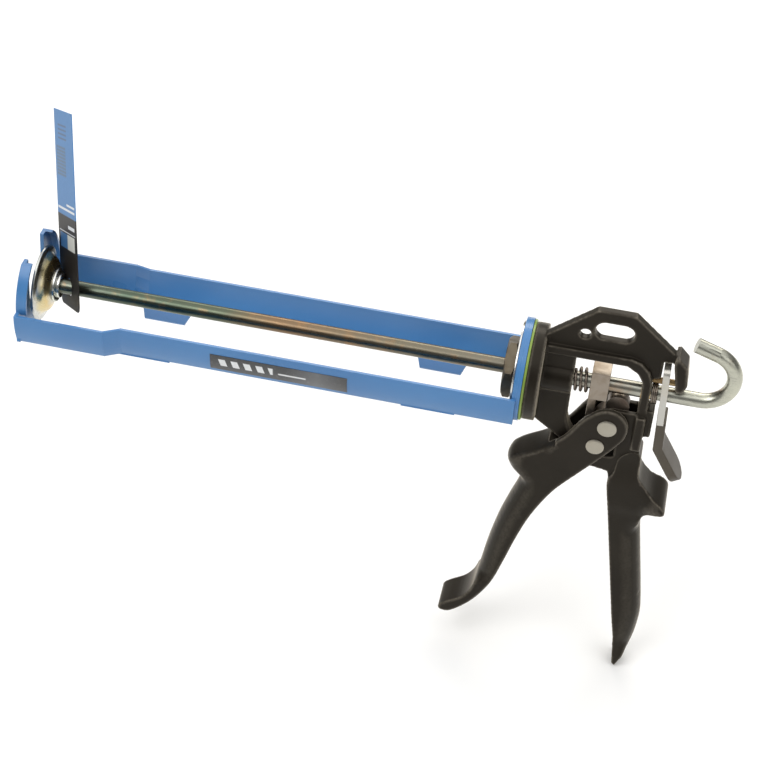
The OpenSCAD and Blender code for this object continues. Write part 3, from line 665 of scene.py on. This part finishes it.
# The nut starts as a plain hexagon. Its middle is opened, and its corners are cut back at both ends.
nut_turn = math.radians(7)
nut_flat = 14.4 * MM
nut_corner = nut_flat / math.cos(math.radians(30))
nut_length = nut_high.x - nut_low.x
chamfer_start, chamfer_slope = nut_flat * 0.985, math.tan(math.radians(32))
facing_end, many_sides = 0.9, 20
nut_shape = bmesh.new()
bmesh.ops.create_cone(nut_shape, cap_ends=True, segments=6, radius1=nut_corner, radius2=nut_corner,
                      depth=nut_length)
rotated(nut_shape, QUARTER_TURN, "Y")
ends = [face for face in nut_shape.faces if abs(face.normal.x) > facing_end]
bmesh.ops.inset_region(nut_shape, faces=ends, thickness=2.2 * MM, use_even_offset=True)
rims = [edge for edge in nut_shape.edges
        if not edge.is_boundary and len({round(v.co.x, 5) for v in edge.verts}) == 1]
bmesh.ops.subdivide_edges(nut_shape, edges=rims, cuts=14, use_grid_fill=True)
middles = [face for face in nut_shape.faces
           if abs(face.normal.x) > facing_end and len(face.verts) > many_sides]
bmesh.ops.inset_individual(nut_shape, faces=middles, thickness=0.5 * MM)
for vert in {vert for face in middles for vert in face.verts}:
    spoke = math.atan2(vert.co.z, vert.co.y)
    vert.co.y, vert.co.z = stack_bore * math.cos(spoke), stack_bore * math.sin(spoke)
mouths = list({edge for face in middles for edge in face.edges})
bmesh.ops.delete(nut_shape, geom=middles, context="FACES_ONLY")
bmesh.ops.bridge_loops(nut_shape, edges=mouths)
bmesh.ops.triangulate(nut_shape, faces=[f for f in nut_shape.faces if len(f.verts) > 4])
bmesh.ops.recalc_face_normals(nut_shape, faces=nut_shape.faces)
for vert in nut_shape.verts:
    past = math.hypot(vert.co.y, vert.co.z) - chamfer_start
    if past > 0 and abs(vert.co.x) > nut_length * 0.4:
        vert.co.x -= math.copysign(past * chamfer_slope, vert.co.x)
rotated(nut_shape, nut_turn - QUARTER_TURN, "X")
bmesh.ops.translate(nut_shape, verts=nut_shape.verts, vec=((nut_low.x + nut_high.x) / 2, 0, 0))
piece_from("nut", nut_shape, "body", nut_steel, ("hex_nut",))

disc_x, disc_r = disc_low.x, disc_high.y
disc_shape = turned([
    (disc_x + 6.0 * MM, stud_bore), (disc_x + 6.0 * MM, 8.8 * MM), (disc_x + 5.5 * MM, 9.6 * MM),
    (disc_x + 4.6 * MM, 11.2 * MM), (disc_x + 4.2 * MM, 12.4 * MM), (disc_x + 3.9 * MM, 13.2 * MM),
    (disc_x + 2.6 * MM, 14.2 * MM), (disc_x + 0.9 * MM, 15.4 * MM), (disc_x + 0.25 * MM, 16.2 * MM),
    (disc_x, 17.0 * MM), (disc_x, disc_r - 0.5 * MM), (disc_x + 0.15 * MM, disc_r - 0.12 * MM),
    (disc_x + 0.5 * MM, disc_r), (disc_x + 1.0 * MM, disc_r), (disc_x + 1.35 * MM, disc_r - 0.12 * MM),
    (disc_x + 1.5 * MM, disc_r - 0.5 * MM), (disc_x + 1.5 * MM, 17.6 * MM), (disc_x + 1.7 * MM, 16.9 * MM),
    (disc_x + 2.3 * MM, 16.1 * MM), (disc_x + 3.9 * MM, 15.0 * MM), (disc_x + 5.3 * MM, 13.9 * MM),
    (disc_x + 5.7 * MM, 12.8 * MM), (disc_x + 6.1 * MM, 11.8 * MM), (disc_x + 7.0 * MM, 10.4 * MM),
    (disc_x + 7.4 * MM, 9.6 * MM), (disc_x + 7.5 * MM, 8.9 * MM), (disc_x + 7.5 * MM, stud_bore),
    (disc_x + 6.0 * MM, stud_bore)])
piece_from("plunger", disc_shape, "plunger", disc_zinc, ("plunger_disc",))


def round_edged_washer(name, node, body, material, bore, edge):
    """A flat washer with a pressed, slightly rounded rim."""
    low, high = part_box(node)
    r = high.y
    shape = turned([(low.x, bore), (low.x, r - edge), (low.x + edge * 0.3, r - edge * 0.3), (low.x + edge, r),
                    (high.x - edge, r), (high.x - edge * 0.3, r - edge * 0.3), (high.x, r - edge),
                    (high.x, bore), (low.x, bore)])
    piece_from(name, shape, body, material, (node,))


round_edged_washer("stack_washer", "retaining_washer", "body", zinc, stack_bore,
                   0.35 * MM)
round_edged_washer("green_washer", "swivel_washer", "body", green_plastic,
                   stack_bore, 0.3 * MM)
round_edged_washer("plunger_washer", "backing_washer", "plunger", zinc, stud_bore,
                   0.35 * MM)
round_edged_washer("collar", "rod_collar", "push_rod", zinc, rod_r, 0.35 * MM)


# ---------------------------------------------------------------- springs

def wound_spring(name, node, body, wire_r, turns):
    """A helical spring of round wire."""
    low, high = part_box(node)
    mean = high.y - wire_r
    shape = bmesh.new()
    bmesh.ops.create_circle(shape, cap_ends=True, segments=16, radius=wire_r)
    rotated(shape, QUARTER_TURN, "X")
    rotated(shape, QUARTER_TURN, "Y")
    bmesh.ops.translate(shape, verts=shape.verts, vec=(low.x + wire_r, 0, mean))
    steps_a_turn = 40
    steps = int(turns * steps_a_turn)
    pitch = (high.x - low.x - 2 * wire_r) / steps
    bmesh.ops.spin(shape, geom=shape.verts[:] + shape.edges[:] + shape.faces[:], cent=(0, 0, 0),
                   axis=(1, 0, 0), dvec=(pitch, 0, 0), angle=math.tau * turns, steps=steps,
                   use_merge=False, use_duplicate=False)
    bmesh.ops.recalc_face_normals(shape, faces=shape.faces)
    spring = piece_from(name, shape, body, spring_steel, (node,))
    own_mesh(spring)


wound_spring("drive_spring", "main_spring", "body",
             wire_r=0.75 * MM, turns=2.75)
wound_spring("release_spring", "brake_spring", "body", wire_r=0.6 * MM, turns=2.5)

# ---------------------------------------------------------------- tag and label

tag_x, tag_width, tag_height, tag_drop = 17.96 * MM, 40 * MM, 103 * MM, 11 * MM
tag_roll, tag_lean, tag_swing = math.radians(-24), math.radians(-9), math.radians(30)
tag_turn = (Matrix.Rotation(tag_roll, 4, "X") @ Matrix.Rotation(tag_lean, 4, "Y")
            @ Matrix.Rotation(tag_swing, 4, "Z"))
tag_shape = cad_copy("hang_tag")
flat = (Matrix.Translation((tag_x, 0, 0)) @ tag_turn).inverted()
sheet_uv = tag_shape.loops.layers.uv.new("sheet")
for face in tag_shape.faces:
    for loop in face.loops:
        spot = flat @ loop.vert.co
        loop[sheet_uv].uv = (0.5 - spot.y / tag_width, (spot.z + tag_drop) / tag_height)
piece_from("tag", tag_shape, "tag", tag_card, ("hang_tag",))

label_shape = cad_copy("rail_label")
label_low, label_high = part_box("rail_label")
label_uv = label_shape.loops.layers.uv.new("film")
for face in label_shape.faces:
    for loop in face.loops:
        spot = loop.vert.co
        loop[label_uv].uv = ((spot.x - label_low.x) / (label_high.x - label_low.x),
                             (spot.z - label_low.z) / (label_high.z - label_low.z))
piece_from("label", label_shape, "carriage", label_film, ("rail_label",))

# ---------------------------------------------------------------- stage

floor_x, floor_drop = 0.2, 1 * MM
floor_shape = bmesh.new()
bmesh.ops.create_grid(floor_shape, x_segments=1, y_segments=1, size=6)
bmesh.ops.translate(floor_shape, verts=floor_shape.verts, vec=(floor_x, 0, cad_box[0].z - floor_drop))
floor = in_scene("floor", mesh_from("floor", floor_shape))
floor_finish, floor_tree, floor_shader = new_finish("pale_floor")
floor_cloud = speckle(floor_tree, object_place(floor_tree), 3, detail=2)
floor_colour = mixed(floor_tree, floor_cloud, (0.90, 0.90, 0.90), (0.93, 0.93, 0.92))
floor_tree.links.new(floor_colour, floor_shader.inputs["Base Color"])
floor_shader.inputs["Roughness"].default_value = 0.9
floor_shader.inputs["Specular IOR Level"].default_value = 0.1
floor.data.materials.append(floor_finish)

world = bpy.data.worlds.new("studio")
bpy.context.scene.world = world
world.use_nodes = True
sky_tree = world.node_tree
sky = sky_tree.nodes["Background"]
sky_place = add_node(sky_tree, "ShaderNodeTexCoord")
sky_height = add_node(sky_tree, "ShaderNodeSeparateXYZ")
sky_tree.links.new(sky_place.outputs["Generated"], sky_height.inputs["Vector"])
sky_colour = ramp(sky_tree, scaled(sky_tree, sky_height.outputs["Z"], -1, 1, 0, 1), (
    (0.0, (0.20, 0.20, 0.20)), (0.50, (0.10, 0.10, 0.10)), (0.72, (0.11, 0.11, 0.11)),
    (0.84, (0.30, 0.30, 0.30)), (0.92, (0.95, 0.95, 0.95)), (1.0, (1.0, 1.0, 1.0))))
sky_tree.links.new(sky_colour, sky.inputs["Color"])
sky.inputs["Strength"].default_value = 1.62
bpy.context.scene.view_settings.view_transform = "Standard"

centre = (cad_box[0] + cad_box[1]) / 2


def soft_light(name, place, size, power, colour=(1, 1, 1)):
    """A rectangular light, aimed at the middle of the tool."""
    data = bpy.data.lights.new(name, "AREA")
    data.shape = "RECTANGLE"
    data.size, data.size_y = size
    data.energy = power
    data.color = colour
    light = in_scene(name, data)
    light.location = place
    light.rotation_mode = "QUATERNION"
    light.rotation_quaternion = (centre - Vector(place)).to_track_quat("-Z", "Y")


soft_light("key_light", (-0.5, -0.9, 1.3), size=(1.0, 0.8), power=9)
soft_light("fill_light", (1.3, -0.9, 0.6), size=(0.9, 0.9), power=3)
soft_light("back_light", (0.3, 1.3, 0.9), size=(1.6, 0.5), power=12, colour=(1.0, 0.95, 0.86))

camera_data = bpy.data.cameras.new("camera")
camera_data.sensor_width = 36
camera_data.lens = 95.635
camera_data.clip_start = 0.05
camera_data.clip_end = 30
camera = in_scene("camera", camera_data)
yaw, pitch, roll = math.radians(-7.893), math.radians(37.881), math.radians(5.460)
turn = (Matrix.Rotation(-yaw, 4, "Z") @ Matrix.Rotation(QUARTER_TURN - pitch, 4, "X")
        @ Matrix.Rotation(roll, 4, "Z"))
camera.rotation_mode = "QUATERNION"
camera.rotation_quaternion = turn.to_quaternion()
camera.location = (0.3055, -0.8386, 0.6319)
bpy.context.scene.camera = camera
